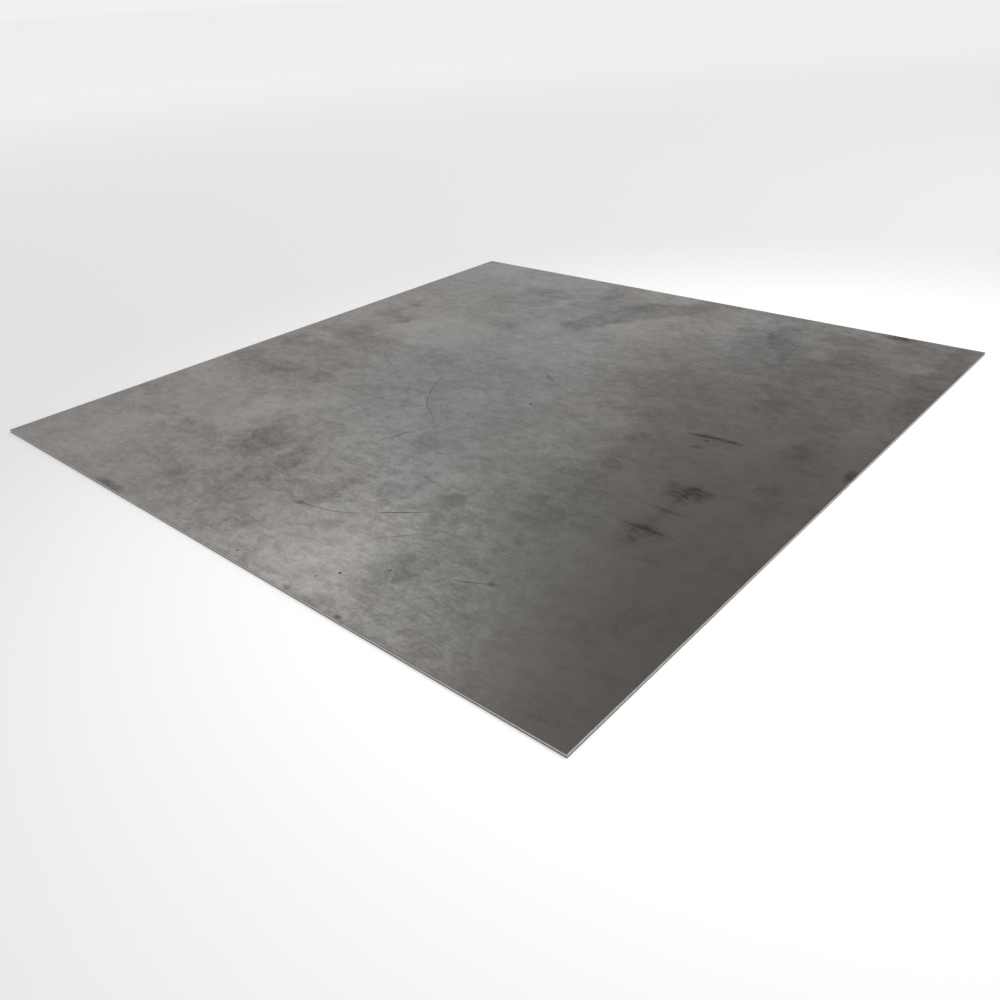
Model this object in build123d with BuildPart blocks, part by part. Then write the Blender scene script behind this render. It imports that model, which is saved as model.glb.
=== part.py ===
from build123d import *

import os

# A square plate of bare cold-rolled mild steel, cut to size on a power shear.
#
# The plate is one piece of metal. Its two broad faces are flat and parallel. Each of its four edges was
# sheared in one straight cut with the blades square to the plate, and has the section that such a cut
# leaves, read from the top face down:
#
#   rollover   the top face is drawn down over the edge before the blade bites
#   burnish    a smooth upright land, rubbed bright by the blade
#   fracture   the rest of the thickness tears, and breaks away inwards by the gap between the blades
#
# Millimetres, Z up. The plate lies on Z = 0 with the Z axis through its centre, its edges run along X and
# Y, and Y is the direction in which the stock was rolled.

# Driving dimensions
SIDE = 500.0  # over the burnished lands, both ways
THICKNESS = 2.0

# The section of a sheared edge in soft mild steel, as shares of the thickness
ROLLOVER_DEPTH_SHARE = 0.10
ROLLOVER_REACH_SHARE = 0.26
BURNISH_SHARE = 0.40
BLADE_GAP_SHARE = 0.06

# What the cuts trim runs past the plate by this at each end
TRIM = 50.0

# Sizes worked out from those
HALF_SIDE = SIDE / 2
STOCK_LENGTH = SIDE + 2 * TRIM
ROLLOVER_DEPTH = THICKNESS * ROLLOVER_DEPTH_SHARE
ROLLOVER_REACH = THICKNESS * ROLLOVER_REACH_SHARE
BLADE_GAP = THICKNESS * BLADE_GAP_SHARE
BURNISH_TOP = THICKNESS - ROLLOVER_DEPTH
BURNISH_FOOT = BURNISH_TOP - THICKNESS * BURNISH_SHARE


# The plate is what two pairs of cuts leave. The first pair trims the stock to width and the second pair
# to length, so each corner is a plain mitre of two edge sections. Both cuts of a pair go down from the
# top face, so one half of the section is drawn and the other half is its mirror image.
with BuildPart() as steel_plate:
    for cut_section, keep in ((Plane.XZ, Mode.ADD), (Plane.YZ, Mode.INTERSECT)):
        with BuildSketch(cut_section.offset(-STOCK_LENGTH / 2)):
            with BuildLine():
                underside = Line((0, 0), (HALF_SIDE - BLADE_GAP, 0))
                fracture = Line(underside @ 1, (HALF_SIDE, BURNISH_FOOT))
                burnish = Line(fracture @ 1, (HALF_SIDE, BURNISH_TOP))
                rollover = EllipticalCenterArc(
                    center=(HALF_SIDE - ROLLOVER_REACH, BURNISH_TOP),
                    x_radius=ROLLOVER_REACH,
                    y_radius=ROLLOVER_DEPTH,
                    start_angle=0,
                    arc_size=90,
                )
                top_face = Line(rollover @ 1, (0, THICKNESS))
                Line(top_face @ 1, underside @ 0)
            make_face()
            mirror(about=Plane.YZ)
        extrude(amount=STOCK_LENGTH, mode=keep)

steel_plate.part.label = "steel_plate"

os.makedirs("parts", exist_ok=True)
export_step(steel_plate.part, "parts/steel_plate.step")

# What was made, for whoever runs this
size = steel_plate.part.bounding_box().size
lands = steel_plate.faces().filter_by(Axis.X) + steel_plate.faces().filter_by(Axis.Y)
print(f"steel_plate: {size.X:.2f} x {size.Y:.2f} x {size.Z:.2f} mm")
print(f"  volume {steel_plate.part.volume:.0f} mm3, {len(steel_plate.faces())} faces")
print(f"  {len(lands)} burnished lands, each {BURNISH_TOP - BURNISH_FOOT:.2f} mm high")
print(f"  rollover {ROLLOVER_REACH:.2f} mm in and {ROLLOVER_DEPTH:.2f} mm down")
print(f"  fracture {BURNISH_FOOT:.2f} mm high, broken back {BLADE_GAP:.2f} mm")
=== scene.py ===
# %% [markdown]
# # A sheared plate of cold-rolled steel
#
# The object is raw stock: one flat square of bare mild steel, cut on a power shear and handled a little
# since. There is almost nothing to it but its finish, so this lesson is about three things: the section
# that a shear leaves on an edge, the clouded skin of cold-rolled steel, and the scratches, pits and stains
# that make it this plate and no other.
#
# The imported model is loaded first. It is the fixed frame: metres, Z up, the plate lying on Z = 0 with the
# Z axis through its centre, and Y along the direction in which the stock was rolled.

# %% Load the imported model
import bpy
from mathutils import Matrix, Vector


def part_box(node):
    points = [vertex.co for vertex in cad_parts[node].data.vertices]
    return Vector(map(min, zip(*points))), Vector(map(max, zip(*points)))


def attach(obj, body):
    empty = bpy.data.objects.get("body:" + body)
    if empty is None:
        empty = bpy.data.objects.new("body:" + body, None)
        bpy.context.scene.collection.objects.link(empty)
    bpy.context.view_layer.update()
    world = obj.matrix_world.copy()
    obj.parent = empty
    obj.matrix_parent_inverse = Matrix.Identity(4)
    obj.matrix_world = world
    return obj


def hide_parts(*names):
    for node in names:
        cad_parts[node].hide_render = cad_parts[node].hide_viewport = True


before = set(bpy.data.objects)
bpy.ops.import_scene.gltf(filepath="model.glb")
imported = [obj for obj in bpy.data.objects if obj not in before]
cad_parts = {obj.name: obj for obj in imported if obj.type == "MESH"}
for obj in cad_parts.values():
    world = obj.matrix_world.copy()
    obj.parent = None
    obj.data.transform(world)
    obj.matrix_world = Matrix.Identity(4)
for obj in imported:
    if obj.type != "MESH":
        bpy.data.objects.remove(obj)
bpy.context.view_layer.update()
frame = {"nodes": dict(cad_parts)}
print("packed model:", ", ".join(frame["nodes"]))

# %% Sizes
import math

import bpy
from mathutils import Matrix, Vector

MM = 0.001
plate_low, plate_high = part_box("steel_plate")
SIDE = plate_high.x - plate_low.x
HALF_SIDE = SIDE / 2
THICKNESS = plate_high.z - plate_low.z
print(f"plate: {SIDE / MM:.1f} mm square, {THICKNESS / MM:.2f} mm thick")

# %% [markdown]
# ## Three helpers
#
# Every tree below is built with the same few helpers. One turns a colour as a designer writes it, a hex
# value in sRGB, into the linear numbers that Blender's shaders work in. One makes a material with an empty
# tree. The third adds a node: it makes the node's settings, fills each input with a value, a link or a list
# of links, and gives back one output, ready for the next node. It finds an input by its name among those
# that the settings leave in use, or by its number where several inputs share a name, as on a Math node.

# %% Helpers for colours and nodes
SRGB_KNEE = 0.04045  # sRGB is a straight line below this, and a curve above it
SRGB_SLOPE = 12.92
SRGB_OFFSET = 0.055
SRGB_POWER = 2.4


def linear(hex_colour):
    """An sRGB colour such as "#8a8784" as linear red, green, blue and an alpha of 1."""

    def straighten(share):
        if share <= SRGB_KNEE:
            return share / SRGB_SLOPE
        return ((share + SRGB_OFFSET) / (1 + SRGB_OFFSET)) ** SRGB_POWER

    shares = [int(hex_colour[at : at + 2], 16) / 255 for at in (1, 3, 5)]
    return (*[straighten(share) for share in shares], 1.0)


def add(tree, kind, inputs, output=0, **settings):
    """Adds a node to a tree and returns one of its outputs, or the node itself if output is None."""

    def pick(sockets, key):
        if isinstance(key, int):
            return sockets[key]
        return next(socket for socket in sockets if socket.name == key and socket.enabled)

    node = tree.nodes.new(kind)
    for name, value in settings.items():
        setattr(node, name, value)
    for key, value in inputs.items():
        socket = pick(node.inputs, key)
        for link in value if isinstance(value, list) else [value]:
            if isinstance(link, bpy.types.NodeSocket):
                tree.links.new(link, socket)
            else:
                socket.default_value = link
    return node if output is None else pick(node.outputs, output)


def new_material(name):
    """A material with an empty node tree."""
    material = bpy.data.materials.new(name)
    material.use_nodes = True
    material.node_tree.nodes.clear()
    return material


print("mid grey #808080 in linear light:", [round(c, 3) for c in linear("#808080")[:3]])

# %% [markdown]
# ## The skin of cold-rolled steel
#
# Cold-rolled mild steel leaves the mill with a fine matt skin, printed on it by ground rolls, and a film of
# oil. It is bright metal, but not a mirror: the skin spreads each reflection wide, so the plate shows a
# soft picture of the room, light where it looks at the pale wall and dark where it looks up. Where the oil
# has dried unevenly the grey turns cloudy, a little warmer or cooler from place to place.
#
# A photographed picture of steel would be quick, but it repeats, and it blurs up close. Here the skin is
# built from its causes instead, as layers of noise that lie over each other: clouds of dried film about a
# hand wide, blots with clear edges where oil has drawn together, a mottle narrower than a finger, a fine
# grit, and a grain and a few hairlines drawn out along Y by the rolls. Each layer has a real width and
# length. Its blur says how softly light turns to dark, and its swing is the share by which it changes the
# metal's tone.

# %% Layers of the skin
# Millimetres across the grain and along it, detail, distortion, blur, swing. The grit, grain and hairlines
# of the real skin are finer than this by half, and are drawn as coarse as the render can show.
SKIN_LAYERS = (
    ("clouds", 55, 75, 4.0, 0.6, 0.30, 0.066),
    ("blots", 18, 26, 5.0, 0.8, 0.05, 0.038),
    ("mottle", 6, 9, 4.0, 0.6, 0.18, 0.094),
    ("grit", 1.6, 2.6, 2.0, 0.0, 0.22, 0.072),
    ("grain", 0.9, 24, 2.0, 0.0, 0.22, 0.040),
    ("hairlines", 1.0, 110, 1.0, 0.0, 0.04, 0.014),
)
NOISE_MIDDLE = 0.5  # a noise swings about this value


def skin_tone(tree, point):
    """How light or dark the bare skin is at a point of the face, about 1."""
    tone = 1.0
    for _, across, along, detail, distortion, blur, swing in SKIN_LAYERS:
        stretch = (1 / (across * MM), 1 / (along * MM), 1 / (across * MM))
        place = add(tree, "ShaderNodeVectorMath", {0: point, 1: stretch}, operation="MULTIPLY")
        noise = add(
            tree,
            "ShaderNodeTexNoise",
            {"Vector": place, "Scale": 1.0, "Detail": detail, "Distortion": distortion},
        )
        layer = add(
            tree,
            "ShaderNodeMapRange",
            {
                "Value": noise,
                "From Min": NOISE_MIDDLE - blur,
                "From Max": NOISE_MIDDLE + blur,
                "To Min": -swing,
                "To Max": swing,
            },
            interpolation_type="SMOOTHSTEP",
        )
        tone = add(tree, "ShaderNodeMath", {0: tone, 1: layer}, operation="ADD")
    return tone


print(len(SKIN_LAYERS), "layers of skin:", ", ".join(layer[0] for layer in SKIN_LAYERS))

# %% [markdown]
# ## Marks on the face
#
# What is left of the plate's history lies on the skin: patches where the film is thick or wiped thin, one
# long curved stain, dirty smudges and a few small specks. Wide areas of tone go with the film patches, and
# they are partly film and partly painted reflection: light and shade of the room laid into the metal's tone.
# A maker would daub each of them on with a soft brush, so that is what the next helper does. A daub is an
# oval with a centre, two half widths, a turn and a tone, full at its centre and soft at its rim. The film's
# own unevenness bends every outline, because nothing that dries on metal has a clean edge.

# %% A brush for marks
RAG_DETAIL = 4.0
RAG_ROUGHNESS = 0.6
MIDDLE_PUSH = (NOISE_MIDDLE, NOISE_MIDDLE, NOISE_MIDDLE)


def ragged(tree, point, width, depth):
    """The point, pushed sideways by a noise of a given width, by the given depth at most. Millimetres."""
    waves = add(
        tree,
        "ShaderNodeTexNoise",
        {"Vector": point, "Scale": 1 / (width * MM), "Detail": RAG_DETAIL, "Roughness": RAG_ROUGHNESS},
        "Color",
    )
    push = add(tree, "ShaderNodeVectorMath", {0: waves, 1: MIDDLE_PUSH}, operation="SUBTRACT")
    push = add(tree, "ShaderNodeVectorMath", {0: push, "Scale": 2 * depth * MM}, operation="SCALE")
    push = add(tree, "ShaderNodeVectorMath", {0: push, 1: (1, 1, 0)}, operation="MULTIPLY")
    return add(tree, "ShaderNodeVectorMath", {0: point, 1: push}, operation="ADD")


def daub(tree, point, marks, soft, join="ADD"):
    """Joins the tones of oval marks. A mark has half its tone at its half widths, and fades over a soft
    share of the whole oval."""
    spread = 1 / (1 - soft / 2)
    total = 0.0
    for x, y, half_across, half_along, turn, tone in marks:
        place = add(
            tree,
            "ShaderNodeMapping",
            {
                "Vector": point,
                "Location": (x * MM, y * MM, THICKNESS),
                "Rotation": (0, 0, math.radians(turn)),
                "Scale": (half_across * MM * spread, half_along * MM * spread, 1),
            },
            vector_type="TEXTURE",
        )
        oval = add(tree, "ShaderNodeTexGradient", {"Vector": place}, "Fac", gradient_type="SPHERICAL")
        mark = add(
            tree,
            "ShaderNodeMapRange",
            {"Value": oval, "From Min": 0.0, "From Max": soft, "To Min": 0.0, "To Max": tone},
            interpolation_type="SMOOTHSTEP",
        )
        total = add(tree, "ShaderNodeMath", {0: mark, 1: total}, operation=join)
    return total


print(f"marks are laid at Z = {THICKNESS / MM:.2f} mm, on the top face")

# %% Where the film lies thick or thin, with painted reflection in the wide areas
# Centre x and y, half width across the grain and along it, turn in degrees, and tone. Sizes are in
# millimetres. A tone of -0.10 is a tenth darker than the skin about it, and 0.10 a tenth lighter. Wide
# areas come first.
# The wide areas are partly film and partly painted reflection: they lay light and shade of the room into the
# tone.
FILM_AND_REFLECTION_AREAS = (
    (-180, 78, 68, 48, 0, -0.12),
    (-30, 200, 68, 55, 0, -0.15),
    (60, 135, 36, 44, 0, 0.22),
    (105, 18, 78, 46, 0, 0.15),
    (172, -18, 46, 32, 0, 0.13),
    (238, 20, 16, 38, 0, 0.22),
    (232, 160, 30, 90, 0, 0.18),
    (150, 70, 120, 120, 0, 0.08),
    (0, -68, 250, 42, 0, 0.10),
    (0, -4, 44, 30, 0, 0.08),
    (0, -232, 240, 26, 0, -0.05),
    (125, -180, 82, 34, 0, -0.12),
    (-232, -58, 20, 44, 0, 0.10),
    (-208, -50, 22, 44, 0, 0.06),
    (-215, 190, 40, 24, 0, 0.12),
    (224, 224, 44, 36, 0, 0.10),
    (110, 208, 110, 55, 0, 0.06),
    (222, -70, 36, 32, 0, 0.08),
    (226, -145, 34, 46, 0, 0.15),
    (-20, -92, 60, 24, 0, 0.07),
    (100, 75, 52, 18, 0, 0.09),
    (208, -72, 48, 24, 0, 0.13),
    (-195, 22, 50, 18, 0, -0.09),
    (-78, 150, 32, 32, 0, -0.06),
    (-62, 74, 30, 30, 0, -0.05),
    (175, -240, 80, 12, 0, -0.16),
    (0, -222, 60, 16, 0, -0.08),
    (-165, -208, 30, 18, 0, -0.06),
)
FILM_PATCHES = (
    # beside the near left edge, where hands have lifted the film
    (-170, 138, 9, 19, 0, -0.16),
    (-158, 92, 20, 24, 15, -0.14),
    (-175, 47, 34, 9, 4, -0.14),
    (-216, 90, 8, 10, 0, -0.10),
    (-222, 0, 5, 9, 0, -0.12),
    (-172, -8, 20, 11, 0, -0.11),
    (-143, -42, 21, 9, 8, -0.15),
    (-141, -75, 18, 11, 4, -0.16),
    (-165, -86, 12, 12, 0, -0.08),
    (-202, -108, 13, 8, 0, -0.12),
    (-118, 132, 14, 14, 0, 0.10),
    (-96, 104, 16, 16, 0, 0.06),
    (-220, 140, 20, 10, 0, -0.06),
    # runs of oil towards the two far edges
    (-156, 236, 6, 16, 0, -0.15),
    (-165, 192, 9, 16, 0, -0.12),
    (-112, 205, 16, 24, 0, 0.05),
    (-70, 205, 12, 42, 0, -0.12),
    (-20, 226, 18, 20, 0, -0.06),
    (0, 218, 7, 26, -4, 0.18),
    (18, 188, 16, 26, -14, -0.14),
    (-66, 140, 12, 12, 0, -0.08),
    (-30, 145, 16, 14, 0, -0.06),
    (66, 190, 10, 12, -20, -0.28),
    (76, 215, 12, 14, -20, -0.18),
    (104, 210, 10, 10, 0, -0.16),
    (42, 230, 14, 16, 0, 0.05),
    (60, 168, 14, 14, 0, 0.08),
    (9, 92, 14, 13, 0, -0.12),
    (102, 104, 11, 14, 0, -0.10),
    (166, 93, 16, 6, 0, 0.15),
    (162, 61, 13, 6, 0, 0.18),
    (195, 126, 15, 25, -8, -0.13),
    (160, 150, 24, 14, 20, -0.08),
    (226, 70, 24, 12, 0, -0.14),
    # towards the near right edge, where the film gathered in scallops
    (-4, -104, 12, 16, 0, 0.10),
    (20, -96, 10, 22, 0, -0.12),
    (32, -90, 4, 18, 12, 0.08),
    (76, -92, 32, 28, 0, -0.12),
    (52, -128, 10, 12, 0, 0.10),
    (114, -124, 4, 20, -4, 0.14),
    (-120, -126, 11, 16, 0, -0.09),
    (-76, -122, 18, 16, 0, -0.08),
    (-45, -122, 12, 12, 0, -0.10),
    (-12, -118, 7, 6, 0, -0.14),
    (20, -136, 6, 6, 0, -0.12),
    (-128, -152, 4, 12, 0, 0.08),
    (76, -168, 12, 14, 0, -0.10),
    (206, -112, 20, 8, 12, -0.20),
    (172, -126, 24, 9, 12, -0.12),
    (216, -158, 14, 22, 0, -0.18),
    (181, -150, 8, 9, 0, 0.20),
    (190, -214, 14, 24, 0, 0.14),
    (-27, -217, 9, 8, 0, -0.22),
    (22, -218, 10, 9, 0, -0.16),
    (-172, -230, 18, 17, 0, -0.12),
    (-240, -230, 12, 14, 0, -0.12),
    (-105, -208, 40, 9, 0, -0.08),
    (62, -234, 22, 12, 0, 0.16),
    (-72, -244, 24, 8, 0, 0.20),
)
print(len(FILM_AND_REFLECTION_AREAS), "wide areas and", len(FILM_PATCHES), "patches of film")

# %% The curved stain
# A spill that dried in a bow, darker than the skin about it, with a paler tide line on its inner side.
STAIN = (
    (137, 46, 14, 14, 0, -0.24),
    (153, 40, 16, 15, -20, -0.24),
    (170, 33, 18, 20, -30, -0.22),
    (188, 24, 18, 22, -40, -0.22),
    (203, 9, 16, 22, -45, -0.20),
    (214, -8, 15, 18, -40, -0.18),
    (229, -20, 15, 11, -20, -0.15),
)
TIDE_LINE = (
    (150, 14, 24, 7, -24, 0.06),
    (178, -2, 20, 7, -40, 0.06),
    (196, -26, 18, 7, -60, 0.06),
)
print(len(STAIN) + len(TIDE_LINE), "daubs for the stain")

# %% Smudges, scuffs and specks
# Dirt was dragged along the grain, so the smudges show in streaks. The two main ones are joined by a faint
# bar. The specks are small dots, lines and scuffs.
SMUDGES = (
    (-107, -182, 11, 9, 0, -0.44),
    (-101, -184, 5, 12, 0, -0.28),
    (-56, -182, 11, 13, 10, -0.62),
    (-53, -187, 7, 8, 0, -0.28),
    (-79, -183, 17, 3, 0, -0.22),
    (8, -156, 9, 9, 0, -0.24),
    (-248, 111, 3, 13, 0, -0.50),
    (245, -188, 4, 10, 0, -0.70),
    (14, -248, 7, 4, 0, -0.60),
)
SPECKS = (
    (-100, -183, 1.5, 15, 0, -0.36),
    (-78, -182, 1.4, 16, 0, -0.32),
    (-77, -193, 1.6, 6, 0, -0.12),
    (-90, -181, 3, 4, 0, -0.14),
    (-192, -7, 2, 2.4, 0, -0.34),
    (-186, -152, 1.5, 2, 0, -0.34),
    (12.4, -152, 1.8, 9, 12, -0.46),
    (14.3, -168, 2, 10, 3, -0.50),
    (-3.2, -156, 1.7, 4.5, 12, -0.44),
    (7.7, -156.6, 1.6, 2, 0, -0.34),
    (22, -137, 3, 4, 0, -0.12),
    (222, -208, 6, 4, 0, -0.14),
    (201, -79, 8, 7, 0, -0.10),
    (33, -9, 1.6, 9, -32, -0.24),
    (-248, -71, 1.4, 2, 0, -0.36),
    (-248, -111, 1.2, 2.4, 0, -0.36),
    (204, -84, 3, 2, 0, -0.12),
    (14, -136, 3, 2, 0, 0.22),
    (66, -156, 4, 6, 0, -0.08),
    (100, 207, 4, 5, 0, -0.12),
    (64, 184, 4, 5, -30, -0.14),
)
print(len(SMUDGES), "smudges and", len(SPECKS), "specks")

# %% [markdown]
# ## From tone to material
#
# The material starts from what the plate is: cold-rolled mild steel, rolled between ground rolls, oiled and
# left to dry. That gives the eye a dark, satin metal. It is fully metallic, so its colour tints what it
# reflects, and a roughness of about a quarter to a third blurs the room to soft light and shade. Thick film
# is a little rougher than bare metal. The tints wander too, from the warm grey of old oil to the cool grey
# of clean steel, with a touch of olive or brown in places, and a very small bump keeps the surface matt
# when it is seen up close.

# %% Steel skin
WARM_STEEL = Vector(linear("#8b8783")[:3])
COOL_STEEL = Vector(linear("#878785")[:3])
OLIVE_STEEL = Vector(linear("#868781")[:3])
BROWN_STEEL = Vector(linear("#8d8783")[:3])
TINT_WIDTH = 20  # mm
TINT_FROM = 0.75  # a tint begins where its daub and a noise add up to this, and is full at the next
TINT_FULL = 1.25
FILM_EDGE = (0.8, 0.8, 0.8, 1)  # a dried film keeps metal from brightening fully at a low angle
SATIN = 0.27  # roughness of the skin at a tone of 1
FILM_ROUGHENS = -0.25  # how the roughness goes with the tone: darker film is rougher
DARKEST = 0.3  # the lowest tone, because dirt never hides the metal altogether
GRIT_WIDTH = 0.8  # mm
GRIT_HEIGHT = 0.002  # mm
STREAK_WIDTH = 2.2  # mm
STREAK_LENGTH = 6  # mm
STREAK_FROM = 0.35  # a streak begins at this value of its noise, and is full at the next
STREAK_FULL = 0.60
BETWEEN_STREAKS = 0.55  # the share of the dirt that lies between the streaks

# How far a mark's rim is spread, as a share of its oval
FILM_AND_REFLECTION_SOFT = 0.55
STAIN_SOFT = 0.40
TIDE_SOFT = 0.60
SPECK_SOFT = 0.70
DIRT_SOFT = 0.75
TINT_SOFT = 0.90

# Width and depth of the rags that bend an outline, in millimetres
TIGHT_RAGS = (10, 7)
WIDE_RAGS = (32, 24)
DIRT_RAGS = (5, 4)

# Where the tints lie. Centre x and y, half widths, turn and share.
COOL_AREAS = (
    (-10, 50, 135, 75, 20, 0.9),
    (110, 60, 140, 80, 20, 0.7),
    (215, 200, 70, 70, 0, 0.8),
    (185, -100, 60, 40, 0, 0.8),
    (-165, -130, 75, 50, 0, 0.8),
    (-110, -60, 70, 45, 0, 0.6),
)
OLIVE_AREAS = (
    (-170, -150, 70, 45, 0, 1.0),
    (-90, -85, 90, 35, 10, 0.8),
    (120, 150, 70, 30, 25, 0.7),
)
BROWN_AREAS = (
    (20, -212, 250, 52, 0, 1.0),
    (-60, 215, 80, 36, 0, 0.6),
)
TINTS = ((COOL_STEEL, COOL_AREAS), (OLIVE_STEEL, OLIVE_AREAS), (BROWN_STEEL, BROWN_AREAS))


def blend(tree, share, first, second):
    """A colour between two, as far along as the share says."""
    step = add(tree, "ShaderNodeVectorMath", {0: second, 1: first}, operation="SUBTRACT")
    return add(tree, "ShaderNodeVectorMath", {0: share, 1: step, 2: first}, operation="MULTIPLY_ADD")


def steel_skin(name, film, stain, tide_line, specks, smudges, tints):
    """Cold-rolled steel under a dried film of oil, with marks of its own. The film's wide areas also hold
    painted reflection: light and shade of the room laid into the tone.
    """
    material = new_material(name)
    tree = material.node_tree
    point = add(tree, "ShaderNodeTexCoord", {}, "Object")
    tight = ragged(tree, point, *TIGHT_RAGS)
    wide = ragged(tree, tight, *WIDE_RAGS)
    tone = skin_tone(tree, point)
    for layer in (
        # the film layer: thick and thin film, and in its wide areas painted reflection of the room's light
        # and shade
        daub(tree, wide, film, FILM_AND_REFLECTION_SOFT),
        daub(tree, tight, stain, STAIN_SOFT, "MINIMUM"),
        daub(tree, tight, tide_line, TIDE_SOFT),
        daub(tree, point, specks, SPECK_SOFT),
    ):
        tone = add(tree, "ShaderNodeMath", {0: tone, 1: layer}, operation="ADD")
    across_streaks = (1 / (STREAK_WIDTH * MM), 1 / (STREAK_LENGTH * MM), 1 / (STREAK_WIDTH * MM))
    streak_at = add(tree, "ShaderNodeVectorMath", {0: point, 1: across_streaks}, operation="MULTIPLY")
    streaks = add(tree, "ShaderNodeTexNoise", {"Vector": streak_at, "Scale": 1.0, "Detail": 4.0})
    streaks = add(
        tree,
        "ShaderNodeMapRange",
        {"Value": streaks, "From Min": STREAK_FROM, "From Max": STREAK_FULL, "To Min": BETWEEN_STREAKS},
    )
    dirt = daub(tree, ragged(tree, point, *DIRT_RAGS), smudges, DIRT_SOFT)
    dirt = add(tree, "ShaderNodeMath", {0: dirt, 1: streaks}, operation="MULTIPLY")
    tone = add(tree, "ShaderNodeMath", {0: tone, 1: dirt}, operation="ADD")
    tone = add(tree, "ShaderNodeMath", {0: tone, 1: DARKEST}, operation="MAXIMUM")

    metal = WARM_STEEL
    for tint, areas in tints:
        spread = add(
            tree, "ShaderNodeTexNoise", {"Vector": point, "Scale": 1 / (TINT_WIDTH * MM), "Detail": 4.0}
        )
        area = daub(tree, wide, areas, TINT_SOFT)
        reach = add(tree, "ShaderNodeMath", {0: area, 1: spread}, operation="ADD")
        share = add(
            tree,
            "ShaderNodeMapRange",
            {"Value": reach, "From Min": TINT_FROM, "From Max": TINT_FULL},
        )
        metal = blend(tree, share, metal, tint)
    colour = add(tree, "ShaderNodeVectorMath", {0: metal, "Scale": tone}, operation="SCALE")
    roughness = add(
        tree,
        "ShaderNodeMath",
        {0: tone, 1: FILM_ROUGHENS, 2: SATIN - FILM_ROUGHENS},
        operation="MULTIPLY_ADD",
    )
    grit = add(tree, "ShaderNodeTexNoise", {"Vector": point, "Scale": 1 / (GRIT_WIDTH * MM), "Detail": 2.0})
    bump = add(tree, "ShaderNodeBump", {"Height": grit, "Distance": GRIT_HEIGHT * MM, "Strength": 1.0})
    steel = add(
        tree,
        "ShaderNodeBsdfPrincipled",
        {
            "Base Color": colour,
            "Metallic": 1.0,
            "Roughness": roughness,
            "Specular Tint": FILM_EDGE,
            "Normal": bump,
        },
    )
    add(tree, "ShaderNodeOutputMaterial", {"Surface": steel}, None)
    return material


# The film marks: patches of film, and wide areas that are partly film and partly painted reflection.
film_and_reflection_marks = FILM_AND_REFLECTION_AREAS + FILM_PATCHES
top_skin = steel_skin("cold_rolled_skin", film_and_reflection_marks, STAIN, TIDE_LINE, SPECKS, SMUDGES, TINTS)
under_skin = steel_skin("cold_rolled_underside", (), (), (), (), (), ())
print("top skin:", len(top_skin.node_tree.nodes), "nodes")

# %% [markdown]
# ## The metal that the shear laid bare
#
# A shear leaves two finishes on one edge. The upper part is burnished: the blade slid down it and rubbed it
# bright, with fine upright lines. The lower part is torn: the metal broke there, and a fracture is dull and
# granular. A scratch has a third finish, a ploughed groove coloured darker than the skin about it.

# %% Burnished, torn and scored metal
DARK_LINE = 0.3  # the grain is darkest at this value of its noise, and lightest at the next
LIGHT_LINE = 0.7
POLISH = 0.1  # the light lines of the grain are smoother than the dark ones by this


def bare_steel(name, dark, light, grain, roughness, height):
    """Bare mild steel between two tones, with a grain as wide as given along X, Y and Z. Millimetres."""
    material = new_material(name)
    tree = material.node_tree
    point = add(tree, "ShaderNodeTexCoord", {}, "Object")
    stretch = tuple(1 / (width * MM) for width in grain)
    place = add(tree, "ShaderNodeVectorMath", {0: point, 1: stretch}, operation="MULTIPLY")
    lines = add(tree, "ShaderNodeTexNoise", {"Vector": place, "Scale": 1.0, "Detail": 3.0})
    share = add(tree, "ShaderNodeMapRange", {"Value": lines, "From Min": DARK_LINE, "From Max": LIGHT_LINE})
    colour = add(
        tree,
        "ShaderNodeMix",
        {"Factor": share, "A": linear(dark), "B": linear(light)},
        "Result",
        data_type="RGBA",
    )
    matt = add(
        tree,
        "ShaderNodeMath",
        {0: share, 1: -POLISH, 2: roughness + POLISH / 2},
        operation="MULTIPLY_ADD",
    )
    bump = add(tree, "ShaderNodeBump", {"Height": lines, "Distance": height * MM, "Strength": 1.0})
    metal = add(
        tree,
        "ShaderNodeBsdfPrincipled",
        {"Base Color": colour, "Metallic": 1.0, "Roughness": matt, "Normal": bump},
    )
    add(tree, "ShaderNodeOutputMaterial", {"Surface": metal}, None)
    return material


burnished = bare_steel("sheared_burnish", "#9c9994", "#c8c6c2", (0.25, 0.25, 6), 0.34, 0.01)
torn = bare_steel("sheared_fracture", "#4e4c49", "#8a8783", (0.35, 0.35, 0.25), 0.60, 0.04)
scored = bare_steel("scored_groove", "#3a3835", "#7a7773", (1.5, 1.5, 1.5), 0.50, 0.01)
print("bare metals:", ", ".join(metal.name for metal in (burnished, torn, scored)))

# %% [markdown]
# ## Scratches and pits cut into the face
#
# A scratch is a groove, so it is modelled as one. Each is drawn as a curve whose radius is the scratch's
# half width, zero at both ends. Later a tree sweeps a diamond along it, squashes it flat and takes it out
# of the plate, which leaves a shallow V with tapered ends. A pit is only a very short, wide scratch. No
# groove may touch another, because the cut would leave broken faces there.

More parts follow.
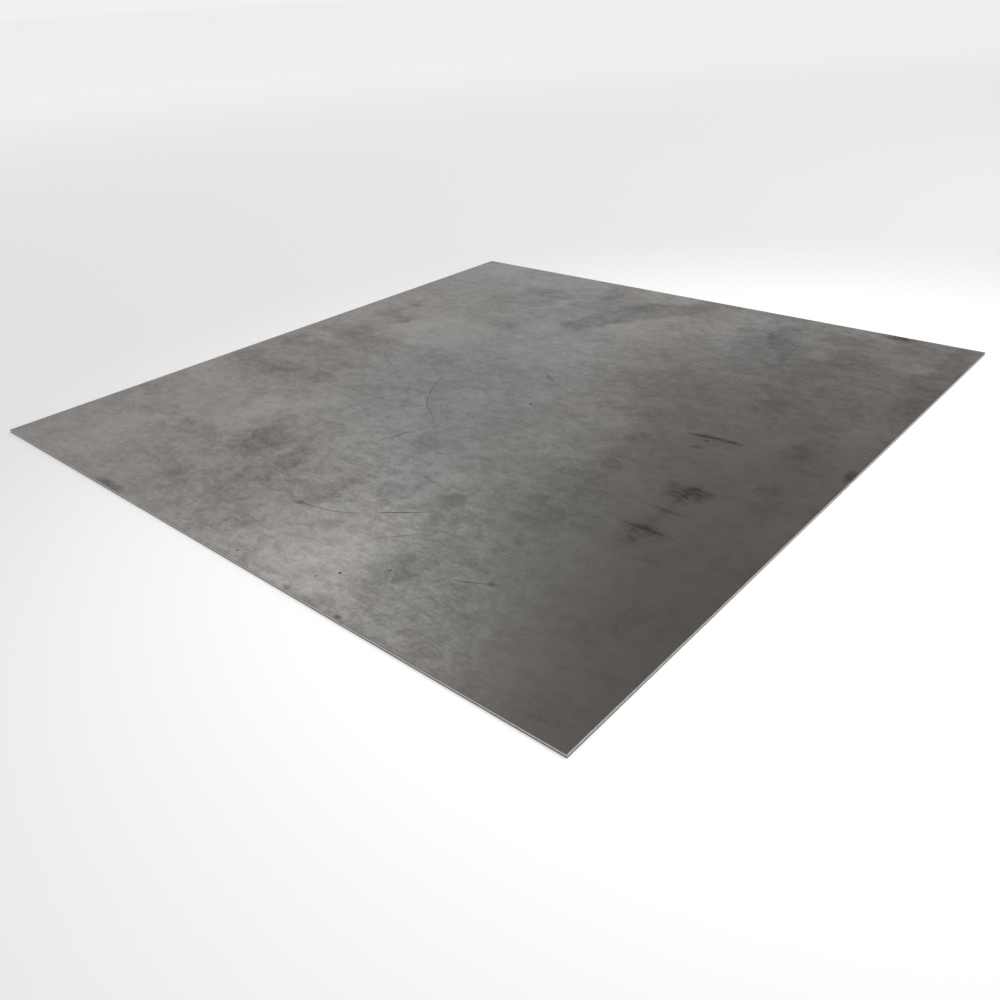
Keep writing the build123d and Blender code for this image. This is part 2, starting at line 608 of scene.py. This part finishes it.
# %% Scratch and pit paths
# Greatest width, then points x and y, all in millimetres.
SCRATCHES = (
    (0.5, ((-198, 2), (-192, -7), (-186, -33), (-174, -52))),
    (0.8, ((-174, -51), (-169, -58), (-162, -68), (-152, -81))),
    (0.45, ((-196, -68), (-186, -78), (-164, -100))),
    (0.6, ((-119, 20), (-102, 14), (-88, 9), (-75, 6))),
    (0.5, ((-70, 8), (-63, 18), (-52, 34), (-37, 46), (-27, 53), (-16, 58), (-8, 61))),
    (0.4, ((-42, 56), (-38, 59), (-30, 59))),
    (0.35, ((7, 146), (-4, 132), (-18, 108), (-30, 87), (-37, 66))),
    (0.4, ((-46, 8), (-47, 0), (-55, -21))),
    (0.6, ((-197, -128), (-191, -142), (-185, -153))),
    (0.3, ((-146, 7), (-146.5, -10), (-146, -29))),
    (0.3, ((-107, 0), (-106.5, -12), (-107, -25))),
    (0.3, ((14, 0), (14.5, -18), (14, -36))),
)
# Greatest width, then the middle x and y. A pit 1.2 mm wide is shorter than two steps of its path, so only
# its two ends are left, which have no width, and it cuts nothing.
PITS = (
    (1.5, (-15, 34)),
    (2.1, (-11, -28)),
    (1.5, (-207, -102)),
    (1.7, (-224, -83)),
    (1.3, (-233, -75)),
    (1.2, (-201, -51)),
    (1.4, (-243, -21)),
    (1.2, (204, -84)),
)
PIT_STRETCH = 0.8  # half a pit's length as a share of its width


def groove_curves(name, paths):
    """One curve object with a spline for each groove. Its radius is half the width of the groove."""
    data = bpy.data.curves.new(name, "CURVE")
    data.dimensions = "3D"
    data.twist_mode = "Z_UP"
    for width, points in paths:
        spline = data.splines.new("POLY")
        last = len(points) - 1
        spline.points.add(last)
        for at, (x, y) in enumerate(points):
            spline.points[at].co = (x * MM, y * MM, 0, 1)
            spline.points[at].radius = 0 if at in (0, last) else width / 2 * MM
    curves = bpy.data.objects.new(name, data)
    bpy.context.scene.collection.objects.link(curves)
    return curves


pit_paths = [
    (width, ((x - width * PIT_STRETCH, y), (x, y), (x + width * PIT_STRETCH, y))) for width, (x, y) in PITS
]
grooves = groove_curves("grooves", [*SCRATCHES, *pit_paths])
print(len(SCRATCHES), "scratches and", len(PITS), "pits")

# %% [markdown]
# ## The section of a sheared edge
#
# A shear doesn't slice steel, it pushes it apart. Read from the top face down, its edge has a rollover,
# where the face was drawn down before the blade bit, an upright burnished land, and a fracture that breaks
# away inwards. The section below runs the other way, from the underside up to the top face. Each of its
# points is an inset, how far in from the land it lies, and a height.

# %% Section curve
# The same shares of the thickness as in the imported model
ROLLOVER_DEPTH_SHARE = 0.10
ROLLOVER_REACH_SHARE = 0.26
BURNISH_SHARE = 0.40
BLADE_GAP_SHARE = 0.06

ROLLOVER_DEPTH = THICKNESS * ROLLOVER_DEPTH_SHARE
ROLLOVER_REACH = THICKNESS * ROLLOVER_REACH_SHARE
LAND_TOP = THICKNESS - ROLLOVER_DEPTH
LAND_FOOT = LAND_TOP - THICKNESS * BURNISH_SHARE
BLADE_GAP = THICKNESS * BLADE_GAP_SHARE
RIM = 3 * MM  # the section starts and ends this far in, and flat faces fill the rest
FRACTURE_ROWS = 8
LAND_ROWS = 3
ROLLOVER_ROWS = 6


def section_points():
    """The section as insets and heights, from the rim of the underside to the rim of the top face."""
    points = [(RIM, 0.0)]
    for row in range(FRACTURE_ROWS):
        share = row / FRACTURE_ROWS
        points.append((BLADE_GAP * (1 - share), LAND_FOOT * share))
    for row in range(LAND_ROWS):
        points.append((0.0, LAND_FOOT + (LAND_TOP - LAND_FOOT) * row / LAND_ROWS))
    for row in range(ROLLOVER_ROWS + 1):
        angle = math.pi / 2 * row / ROLLOVER_ROWS
        inset = ROLLOVER_REACH * (1 - math.cos(angle))
        points.append((inset, LAND_TOP + ROLLOVER_DEPTH * math.sin(angle)))
    points.append((RIM, THICKNESS))
    return points


section_data = bpy.data.curves.new("sheared_section", "CURVE")
section_data.dimensions = "3D"
section_spline = section_data.splines.new("POLY")
section_rows = section_points()
section_spline.points.add(len(section_rows) - 1)
for section_point, (inset, height) in zip(section_spline.points, section_rows):
    section_point.co = (inset, height, 0, 1)
section = bpy.data.objects.new("sheared_section", section_data)
bpy.context.scene.collection.objects.link(section)
print(f"section: {len(section_rows)} points, land from {LAND_FOOT / MM:.2f} to {LAND_TOP / MM:.2f} mm")

# %% [markdown]
# ## A tree for the plate
#
# The edge follows a rule, one section carried round one square, so Geometry Nodes make it. A grid has a row
# for each point of the section and a column for each step round the square. The tree puts every point of
# the grid where it belongs: it takes the place on the square, draws it towards the middle by the inset, and
# lifts it by the height. Drawing the place towards the middle makes the corners meet in exact mitres.
#
# The tree has named inputs for its sizes and one seed for all that is random, so that it gives the same
# plate every time and would give another plate of the same kind from another seed.

# %% Inputs of the tree
plate_tree = bpy.data.node_groups.new("sheared_plate", "GeometryNodeTree")
INPUTS = {
    "Side": ("NodeSocketFloat", SIDE),
    "Thickness": ("NodeSocketFloat", THICKNESS),
    "Land Foot": ("NodeSocketFloat", LAND_FOOT),
    "Land Top": ("NodeSocketFloat", LAND_TOP),
    "Rim": ("NodeSocketFloat", RIM),
    "Tear Depth": ("NodeSocketFloat", 0.06 * MM),
    "Wander": ("NodeSocketFloat", 0.24 * MM),
    "Groove Flatness": ("NodeSocketFloat", 0.25),
    "Weld": ("NodeSocketFloat", 0.005 * MM),
    "Columns": ("NodeSocketInt", 2000),
    "Rows": ("NodeSocketInt", len(section_rows)),
    "Seed": ("NodeSocketInt", 7),
    "Section": ("NodeSocketObject", section),
    "Grooves": ("NodeSocketObject", grooves),
}
identifiers = {}
for name, (kind, _) in INPUTS.items():
    socket = plate_tree.interface.new_socket(name, in_out="INPUT", socket_type=kind)
    identifiers[name] = socket.identifier
plate_tree.interface.new_socket("Plate", in_out="OUTPUT", socket_type="NodeSocketGeometry")
given = plate_tree.nodes.new("NodeGroupInput").outputs
print("inputs:", ", ".join(INPUTS))

# %% Carry the section round the square
# Grid points are numbered up each column in turn, so a number divided by the rows gives the column, and
# what is left over gives the row.
number = add(plate_tree, "GeometryNodeInputIndex", {})
row = add(plate_tree, "FunctionNodeIntegerMath", {0: number, 1: given["Rows"]}, operation="MODULO")
column = add(
    plate_tree, "FunctionNodeIntegerMath", {0: number, 1: given["Rows"]}, operation="DIVIDE_FLOOR"
)
around = add(plate_tree, "ShaderNodeMath", {0: column, 1: given["Columns"]}, operation="DIVIDE")

square = add(
    plate_tree,
    "GeometryNodeCurvePrimitiveQuadrilateral",
    {"Width": given["Side"], "Height": given["Side"]},
)
place = add(plate_tree, "GeometryNodeSampleCurve", {"Curves": square, "Factor": around}, "Position")
drawn_section = add(plate_tree, "GeometryNodeObjectInfo", {"Object": given["Section"]}, "Geometry")
section_point = add(
    plate_tree,
    "GeometryNodeSampleIndex",
    {"Geometry": drawn_section, "Value": add(plate_tree, "GeometryNodeInputPosition", {}), "Index": row},
    data_type="FLOAT_VECTOR",
)
inset = add(plate_tree, "ShaderNodeSeparateXYZ", {"Vector": section_point}, "X")
height = add(plate_tree, "ShaderNodeSeparateXYZ", {"Vector": section_point}, "Y")

half_side = add(plate_tree, "ShaderNodeMath", {0: given["Side"], 1: 2.0}, operation="DIVIDE")
drawn_in = add(plate_tree, "ShaderNodeMath", {0: inset, 1: half_side}, operation="DIVIDE")
kept = add(plate_tree, "ShaderNodeMath", {0: 1.0, 1: drawn_in}, operation="SUBTRACT")
lifted = add(plate_tree, "ShaderNodeCombineXYZ", {"Z": height})
position = add(plate_tree, "ShaderNodeVectorMath", {0: place, 1: kept, 2: lifted}, operation="MULTIPLY_ADD")

columns_and_one = add(plate_tree, "FunctionNodeIntegerMath", {0: given["Columns"], 1: 1}, operation="ADD")
grid = add(plate_tree, "GeometryNodeMeshGrid", {"Vertices X": columns_and_one, "Vertices Y": given["Rows"]})
edge = add(plate_tree, "GeometryNodeSetPosition", {"Geometry": grid, "Position": position})
print("grid:", INPUTS["Columns"][1], "columns of", len(section_rows), "points")

# %% Give each band of the edge its metal
# Every face takes the metal of the highest band that its middle reaches. The section is still exact here.
here = add(plate_tree, "GeometryNodeInputPosition", {})
level = add(plate_tree, "ShaderNodeSeparateXYZ", {"Vector": here}, "Z")
edge = add(plate_tree, "GeometryNodeSetMaterial", {"Geometry": edge, "Material": under_skin})
for lower_border, metal in (
    (given["Weld"], torn),
    (given["Land Foot"], burnished),
    (given["Land Top"], top_skin),
):
    above = add(plate_tree, "FunctionNodeCompare", {"A": level, "B": lower_border}, operation="GREATER_THAN")
    edge = add(
        plate_tree,
        "GeometryNodeSetMaterial",
        {"Geometry": edge, "Selection": above, "Material": metal},
    )
print("bands, from below:", ", ".join(metal.name for metal in (under_skin, torn, burnished, top_skin)))

# %% Tear the fracture
# No fracture is even. A long noise lets the foot of the land wander up and down, and fades out towards the
# underside and the top of the land. A fine one tears the fracture inwards, and fades out towards the
# underside and the foot, so that nothing opens.
FRACTURE_GRAIN = 1.6 * MM
FRACTURE_WAVE = 9 * MM
up_to_foot = add(
    plate_tree, "ShaderNodeMapRange", {"Value": level, "From Min": 0.0, "From Max": given["Land Foot"]}
)
down_from_foot = add(
    plate_tree,
    "ShaderNodeMapRange",
    {
        "Value": level,
        "From Min": given["Land Foot"],
        "From Max": given["Land Top"],
        "To Min": 1.0,
        "To Max": 0.0,
    },
)
near_foot = add(plate_tree, "ShaderNodeMath", {0: up_to_foot, 1: down_from_foot}, operation="MULTIPLY")
waves = add(
    plate_tree,
    "ShaderNodeTexNoise",
    {"Vector": place, "W": given["Seed"], "Scale": 1 / FRACTURE_WAVE, "Detail": 3.0},
    noise_dimensions="4D",
)
waves = add(plate_tree, "ShaderNodeMath", {0: waves, 1: NOISE_MIDDLE}, operation="SUBTRACT")
waves = add(plate_tree, "ShaderNodeMath", {0: waves, 1: given["Wander"]}, operation="MULTIPLY")
rise = add(plate_tree, "ShaderNodeMath", {0: waves, 1: near_foot}, operation="MULTIPLY")
wandered = add(
    plate_tree,
    "GeometryNodeSetPosition",
    {"Geometry": edge, "Offset": add(plate_tree, "ShaderNodeCombineXYZ", {"Z": rise})},
)

swell = add(plate_tree, "ShaderNodeMath", {0: up_to_foot, 1: math.pi}, operation="MULTIPLY")
swell = add(plate_tree, "ShaderNodeMath", {0: swell}, operation="SINE")
grains = add(
    plate_tree,
    "ShaderNodeTexNoise",
    {"Vector": here, "W": given["Seed"], "Scale": 1 / FRACTURE_GRAIN, "Detail": 3.0},
    noise_dimensions="4D",
)
torn_in = add(plate_tree, "ShaderNodeMath", {0: grains, 1: swell}, operation="MULTIPLY")
torn_in = add(plate_tree, "ShaderNodeMath", {0: torn_in, 1: given["Tear Depth"]}, operation="MULTIPLY")
torn_in = add(plate_tree, "ShaderNodeMath", {0: torn_in, 1: half_side}, operation="DIVIDE")
inwards = add(plate_tree, "ShaderNodeMath", {0: torn_in, 1: -1.0}, operation="MULTIPLY")
pull = add(plate_tree, "ShaderNodeVectorMath", {0: place, "Scale": inwards}, operation="SCALE")
torn_edge = add(plate_tree, "GeometryNodeSetPosition", {"Geometry": wandered, "Offset": pull})
print("fracture torn up to", round(INPUTS["Tear Depth"][1] / MM, 3), "mm deep")

# %% Close the plate with two flat faces
# The inner square has a point for each column of the grid, so that both can be welded point to point.
inner_side = add(
    plate_tree,
    "ShaderNodeMath",
    {0: given["Rim"], 1: -2.0, 2: given["Side"]},
    operation="MULTIPLY_ADD",
)
inner = add(
    plate_tree,
    "GeometryNodeCurvePrimitiveQuadrilateral",
    {"Width": inner_side, "Height": inner_side},
)
inner = add(
    plate_tree,
    "GeometryNodeResampleCurve",
    {"Curve": inner, "Count": given["Columns"]},
    mode="COUNT",
)
flat = add(plate_tree, "GeometryNodeFillCurve", {"Curve": inner}, mode="NGONS")
to_top = add(plate_tree, "ShaderNodeCombineXYZ", {"Z": given["Thickness"]})
top = add(plate_tree, "GeometryNodeTransform", {"Geometry": flat, "Translation": to_top})
top = add(plate_tree, "GeometryNodeSetMaterial", {"Geometry": top, "Material": top_skin})
underside = add(plate_tree, "GeometryNodeFlipFaces", {"Mesh": flat})
underside = add(plate_tree, "GeometryNodeSetMaterial", {"Geometry": underside, "Material": under_skin})
shell = add(plate_tree, "GeometryNodeJoinGeometry", {"Geometry": [torn_edge, top, underside]})
body = add(plate_tree, "GeometryNodeMergeByDistance", {"Geometry": shell, "Distance": given["Weld"]})
print("plate tree so far:", len(plate_tree.nodes), "nodes")

# %% Cut the grooves
# The tool is a diamond, four points round each path. It is set a hair above the face, so that its widest
# part is clear of it, and it wobbles a little, as a dragged grain of grit does.
GROOVE_STEP = 1.0 * MM
WOBBLE = 0.5 * MM
WOBBLE_LENGTH = 7 * MM
LIFT = 0.003 * MM
paths = add(plate_tree, "GeometryNodeObjectInfo", {"Object": given["Grooves"]}, "Geometry")
paths = add(plate_tree, "GeometryNodeCurveSplineType", {"Curve": paths}, spline_type="CATMULL_ROM")
paths = add(plate_tree, "GeometryNodeResampleCurve", {"Curve": paths, "Length": GROOVE_STEP}, mode="LENGTH")
shake = add(
    plate_tree,
    "ShaderNodeTexNoise",
    {"Vector": here, "W": given["Seed"], "Scale": 1 / WOBBLE_LENGTH},
    "Color",
    noise_dimensions="4D",
)
shake = add(plate_tree, "ShaderNodeVectorMath", {0: shake, 1: MIDDLE_PUSH}, operation="SUBTRACT")
shake = add(plate_tree, "ShaderNodeVectorMath", {0: shake, 1: (WOBBLE, WOBBLE, 0)}, operation="MULTIPLY")
paths = add(plate_tree, "GeometryNodeSetPosition", {"Geometry": paths, "Offset": shake})
diamond = add(plate_tree, "GeometryNodeCurvePrimitiveCircle", {"Resolution": 4, "Radius": 1.0})
cutter = add(
    plate_tree,
    "GeometryNodeCurveToMesh",
    {
        "Curve": paths,
        "Profile Curve": diamond,
        "Scale": add(plate_tree, "GeometryNodeInputRadius", {}),
        "Fill Caps": True,
    },
)
cutter_level = add(plate_tree, "ShaderNodeMath", {0: given["Thickness"], 1: LIFT}, operation="ADD")
flatten = {"X": 1.0, "Y": 1.0, "Z": given["Groove Flatness"]}
cutter = add(
    plate_tree,
    "GeometryNodeTransform",
    {
        "Geometry": cutter,
        "Translation": add(plate_tree, "ShaderNodeCombineXYZ", {"Z": cutter_level}),
        "Scale": add(plate_tree, "ShaderNodeCombineXYZ", flatten),
    },
)
cutter = add(plate_tree, "GeometryNodeSetMaterial", {"Geometry": cutter, "Material": scored})
scored_body = add(
    plate_tree,
    "GeometryNodeMeshBoolean",
    {"Mesh 1": body, "Mesh 2": cutter},
    "Mesh",
    operation="DIFFERENCE",
    solver="MANIFOLD",
)
result = add(plate_tree, "GeometryNodeRealizeInstances", {"Geometry": scored_body})
add(plate_tree, "NodeGroupOutput", {"Plate": result}, None)
print("plate tree:", len(plate_tree.nodes), "nodes")

# %% [markdown]
# ## Make the plate
#
# The tree works as a modifier on an empty mesh. Its result is copied to a plain mesh, and the modifier goes
# with the object that held it, because what is handed on should be a mesh and nothing else. The edge is
# shaded smooth, with sharp borders where the metal turns sharply, and the two flat faces are shaded flat.

# %% Run the tree
blank = bpy.data.objects.new("blank", bpy.data.meshes.new("blank"))
bpy.context.scene.collection.objects.link(blank)
modifier = blank.modifiers.new("sheared_plate", "NODES")
modifier.node_group = plate_tree
for name, (_, value) in INPUTS.items():
    modifier[identifiers[name]] = value
evaluated = blank.evaluated_get(bpy.context.evaluated_depsgraph_get())
mesh = bpy.data.meshes.new_from_object(evaluated)
mesh.name = "sheared_plate"
plate = bpy.data.objects.new("sheared_plate", mesh)
bpy.context.scene.collection.objects.link(plate)
for spare in (blank, section, grooves):
    bpy.data.objects.remove(spare)

SHARP = math.radians(35)
INSIDE_RIM = 0.15 * MM
mesh.set_sharp_from_angle(angle=SHARP)
flat_up_to = HALF_SIDE - RIM - INSIDE_RIM
for face in mesh.polygons:
    face.use_smooth = max(abs(face.center.x), abs(face.center.y)) > flat_up_to
print("plate:", len(mesh.vertices), "vertices,", len(mesh.polygons), "faces")
for slot in reversed(range(len(mesh.materials))):
    if mesh.materials[slot] is None:
        mesh.materials.pop(index=slot)  # the grid's own slot, which no face uses any more
print("metals:", [metal.name for metal in mesh.materials])

# %% Put it in the frame
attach(plate, "root")
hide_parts("steel_plate")
print(plate.name, "rides on root in place of steel_plate")

# %% [markdown]
# ## A pale room
#
# Metal is only as good as what it reflects. The room is a white floor and a world that is white and bright
# low down, as a wall is, and grey higher up, as a ceiling is. The border between the two is tilted, so that
# the plate is lightest at its far left and darkest near the front. A soft window higher up on the left
# lightens the near left of the face, a bright patch overhead lights the floor, and a little haze hides the
# line where the floor ends. One soft square lamp stands to the right of the viewer and gives the plate's
# edges and the floor beside them their light.

# %% Floor
# The floor glows a little where the camera or the metal sees it, near the plate and again far off, as
# overexposed white paper does. The glow lights nothing else.
FLOOR_REACH = 60.0  # metres
floor_mesh = bpy.data.meshes.new("floor")
floor_corners = [(-FLOOR_REACH, -FLOOR_REACH, 0), (FLOOR_REACH, -FLOOR_REACH, 0)]
floor_corners += [(FLOOR_REACH, FLOOR_REACH, 0), (-FLOOR_REACH, FLOOR_REACH, 0)]
floor_mesh.from_pydata(floor_corners, [], [(0, 1, 2, 3)])
floor = bpy.data.objects.new("floor", floor_mesh)
bpy.context.scene.collection.objects.link(floor)

floor_paint = new_material("floor_paint")
paint_tree = floor_paint.node_tree
paper = add(paint_tree, "ShaderNodeBsdfDiffuse", {"Color": linear("#e8e8e8")})
spot = add(paint_tree, "ShaderNodeTexCoord", {}, "Object")


def glow_ring(centre, near, far, start, end):
    """Light that goes from one strength to another with the distance from a point of the floor. Metres."""
    ring = add(paint_tree, "ShaderNodeVectorMath", {0: spot, 1: centre}, "Value", operation="DISTANCE")
    return add(
        paint_tree,
        "ShaderNodeMapRange",
        {"Value": ring, "From Min": near, "From Max": far, "To Min": start, "To Max": end},
        interpolation_type="SMOOTHSTEP",
    )


around_plate = glow_ring(centre=(0.0, -0.21, 0.0), near=0.05, far=0.58, start=0.45, end=0.04)
far_off = glow_ring(centre=(-0.7, -1.5, 0.0), near=0.1, far=5.0, start=0.0, end=0.38)
strength = add(paint_tree, "ShaderNodeMath", {0: around_plate, 1: far_off}, operation="ADD")
to_camera = add(paint_tree, "ShaderNodeLightPath", {}, "Is Camera Ray")
to_metal = add(paint_tree, "ShaderNodeLightPath", {}, "Is Glossy Ray")
seen = add(paint_tree, "ShaderNodeMath", {0: to_camera, 1: to_metal}, operation="MAXIMUM")
strength = add(paint_tree, "ShaderNodeMath", {0: strength, 1: seen}, operation="MULTIPLY")
glow = add(paint_tree, "ShaderNodeEmission", {"Strength": strength})
both = add(paint_tree, "ShaderNodeAddShader", {0: paper, 1: glow})
add(paint_tree, "ShaderNodeOutputMaterial", {"Surface": both}, None)
floor_mesh.materials.append(floor_paint)
print("floor:", 2 * FLOOR_REACH, "m square")

# %% Walls and ceiling
# Heights on the walls are the sine of the angle above the horizon, from 0 to 1.
world = bpy.data.worlds.new("studio")
bpy.context.scene.world = world
world.use_nodes = True
room = world.node_tree
room.nodes.clear()
CEILING = 0.28  # brightness of the ceiling
WALL = 0.80  # brightness of the walls
WALL_FULL_TO = 0.31
WALL_ENDS = 0.48
LEFT_WALL_FROM = 0.27  # the same for directions along Y, which lie to the left of the view
LEFT_WALL_FULL = 0.46
LEFT_WALL_LEAN = -0.35  # its border leans to the left as it rises
WINDOW_TURN = math.radians(60)  # from X towards Y
WINDOW_RISE = math.radians(35)
WINDOW_EDGE = math.radians(14)
WINDOW_CORE = math.radians(5)
WINDOW_LIGHT = 0.45
HAZE_FULL_TO = 0.03
HAZE_ENDS = 0.14
HAZE_LIGHT = 0.08
OVERHEAD_FROM = 0.80
OVERHEAD_FULL = 0.96
OVERHEAD_LIGHT = 0.50

direction = add(room, "ShaderNodeTexCoord", {}, "Generated")
rise = add(room, "ShaderNodeSeparateXYZ", {"Vector": direction}, "Z")
leftward = add(room, "ShaderNodeSeparateXYZ", {"Vector": direction}, "Y")
wall = add(
    room,
    "ShaderNodeMapRange",
    {"Value": rise, "From Min": WALL_FULL_TO, "From Max": WALL_ENDS, "To Min": 1.0, "To Max": 0.0},
    interpolation_type="SMOOTHSTEP",
)
leaning = add(room, "ShaderNodeMath", {0: rise, 1: LEFT_WALL_LEAN, 2: leftward}, operation="MULTIPLY_ADD")
left_wall = add(
    room,
    "ShaderNodeMapRange",
    {"Value": leaning, "From Min": LEFT_WALL_FROM, "From Max": LEFT_WALL_FULL},
    interpolation_type="SMOOTHSTEP",
)
pale = add(room, "ShaderNodeMath", {0: wall, 1: left_wall}, operation="MAXIMUM")
light = add(room, "ShaderNodeMapRange", {"Value": pale, "To Min": CEILING, "To Max": WALL})
window = Vector((math.cos(WINDOW_TURN), math.sin(WINDOW_TURN), math.tan(WINDOW_RISE))).normalized()
facing = add(room, "ShaderNodeVectorMath", {0: direction, 1: window}, "Value", operation="DOT_PRODUCT")
window_light = add(
    room,
    "ShaderNodeMapRange",
    {
        "Value": facing,
        "From Min": math.cos(WINDOW_EDGE),
        "From Max": math.cos(WINDOW_CORE),
        "To Min": 0.0,
        "To Max": WINDOW_LIGHT,
    },
    interpolation_type="SMOOTHSTEP",
)
light = add(room, "ShaderNodeMath", {0: light, 1: window_light}, operation="ADD")
haze = add(
    room,
    "ShaderNodeMapRange",
    {
        "Value": rise,
        "From Min": HAZE_FULL_TO,
        "From Max": HAZE_ENDS,
        "To Min": HAZE_LIGHT,
        "To Max": 0.0,
    },
    interpolation_type="SMOOTHSTEP",
)
light = add(room, "ShaderNodeMath", {0: light, 1: haze}, operation="ADD")
overhead = add(
    room,
    "ShaderNodeMapRange",
    {
        "Value": rise,
        "From Min": OVERHEAD_FROM,
        "From Max": OVERHEAD_FULL,
        "To Min": 0.0,
        "To Max": OVERHEAD_LIGHT,
    },
    interpolation_type="SMOOTHSTEP",
)
light = add(room, "ShaderNodeMath", {0: light, 1: overhead}, operation="ADD")
shine = add(room, "ShaderNodeBackground", {"Color": light, "Strength": 1.0})
add(room, "ShaderNodeOutputWorld", {"Surface": shine}, None)
print("room:", len(room.nodes), "nodes")

# %% Lamp
LAMP_AT = Vector((0.5, -1.0, 1.6))  # metres
LAMP_SIZE = 1.2  # metres
LAMP_POWER = 15  # watts
lamp_data = bpy.data.lights.new("soft_lamp", "AREA")
lamp_data.shape = "SQUARE"
lamp_data.size = LAMP_SIZE
lamp_data.energy = LAMP_POWER
lamp = bpy.data.objects.new("soft_lamp", lamp_data)
bpy.context.scene.collection.objects.link(lamp)
lamp.matrix_world = Matrix.Translation(LAMP_AT) @ LAMP_AT.to_track_quat("Z", "Y").to_matrix().to_4x4()
print(f"lamp: {LAMP_POWER} W, {LAMP_AT.length:.2f} m from the middle of the plate")

# %% [markdown]
# ## The camera
#
# The view is that of someone who bends over the near corner and looks down across the plate. The lens is a
# plain one, a little wide, and the frame is shifted a touch to the left, as a cropped photograph is.

# %% Camera
CAMERA_AT = Vector((-433, -406, 253.5)) * MM
VIEW_TURN = math.radians(41.64)  # from X towards Y
VIEW_RISE = math.radians(-30.0)
VIEW_ROLL = math.radians(3.2)
SENSOR_WIDTH = 36.0  # mm
FOCAL_LENGTH = 31.86  # mm
FRAME_SHIFT = (-0.0392, -0.0024)  # shares of the frame's width
NEAR_CLIP = 0.01  # metres

lens = bpy.data.cameras.new("camera")
lens.sensor_width = SENSOR_WIDTH
lens.lens = FOCAL_LENGTH
lens.shift_x, lens.shift_y = FRAME_SHIFT
lens.clip_start = NEAR_CLIP
camera = bpy.data.objects.new("camera", lens)
bpy.context.scene.collection.objects.link(camera)
camera.matrix_world = (
    Matrix.Translation(CAMERA_AT)
    @ Matrix.Rotation(VIEW_TURN - math.pi / 2, 4, "Z")
    @ Matrix.Rotation(math.pi / 2 + VIEW_RISE, 4, "X")
    @ Matrix.Rotation(-VIEW_ROLL, 4, "Z")
)
bpy.context.scene.camera = camera
bpy.context.scene.view_settings.view_transform = "Standard"
print(f"camera: {FOCAL_LENGTH} mm lens, {CAMERA_AT.length:.2f} m from the middle of the plate")
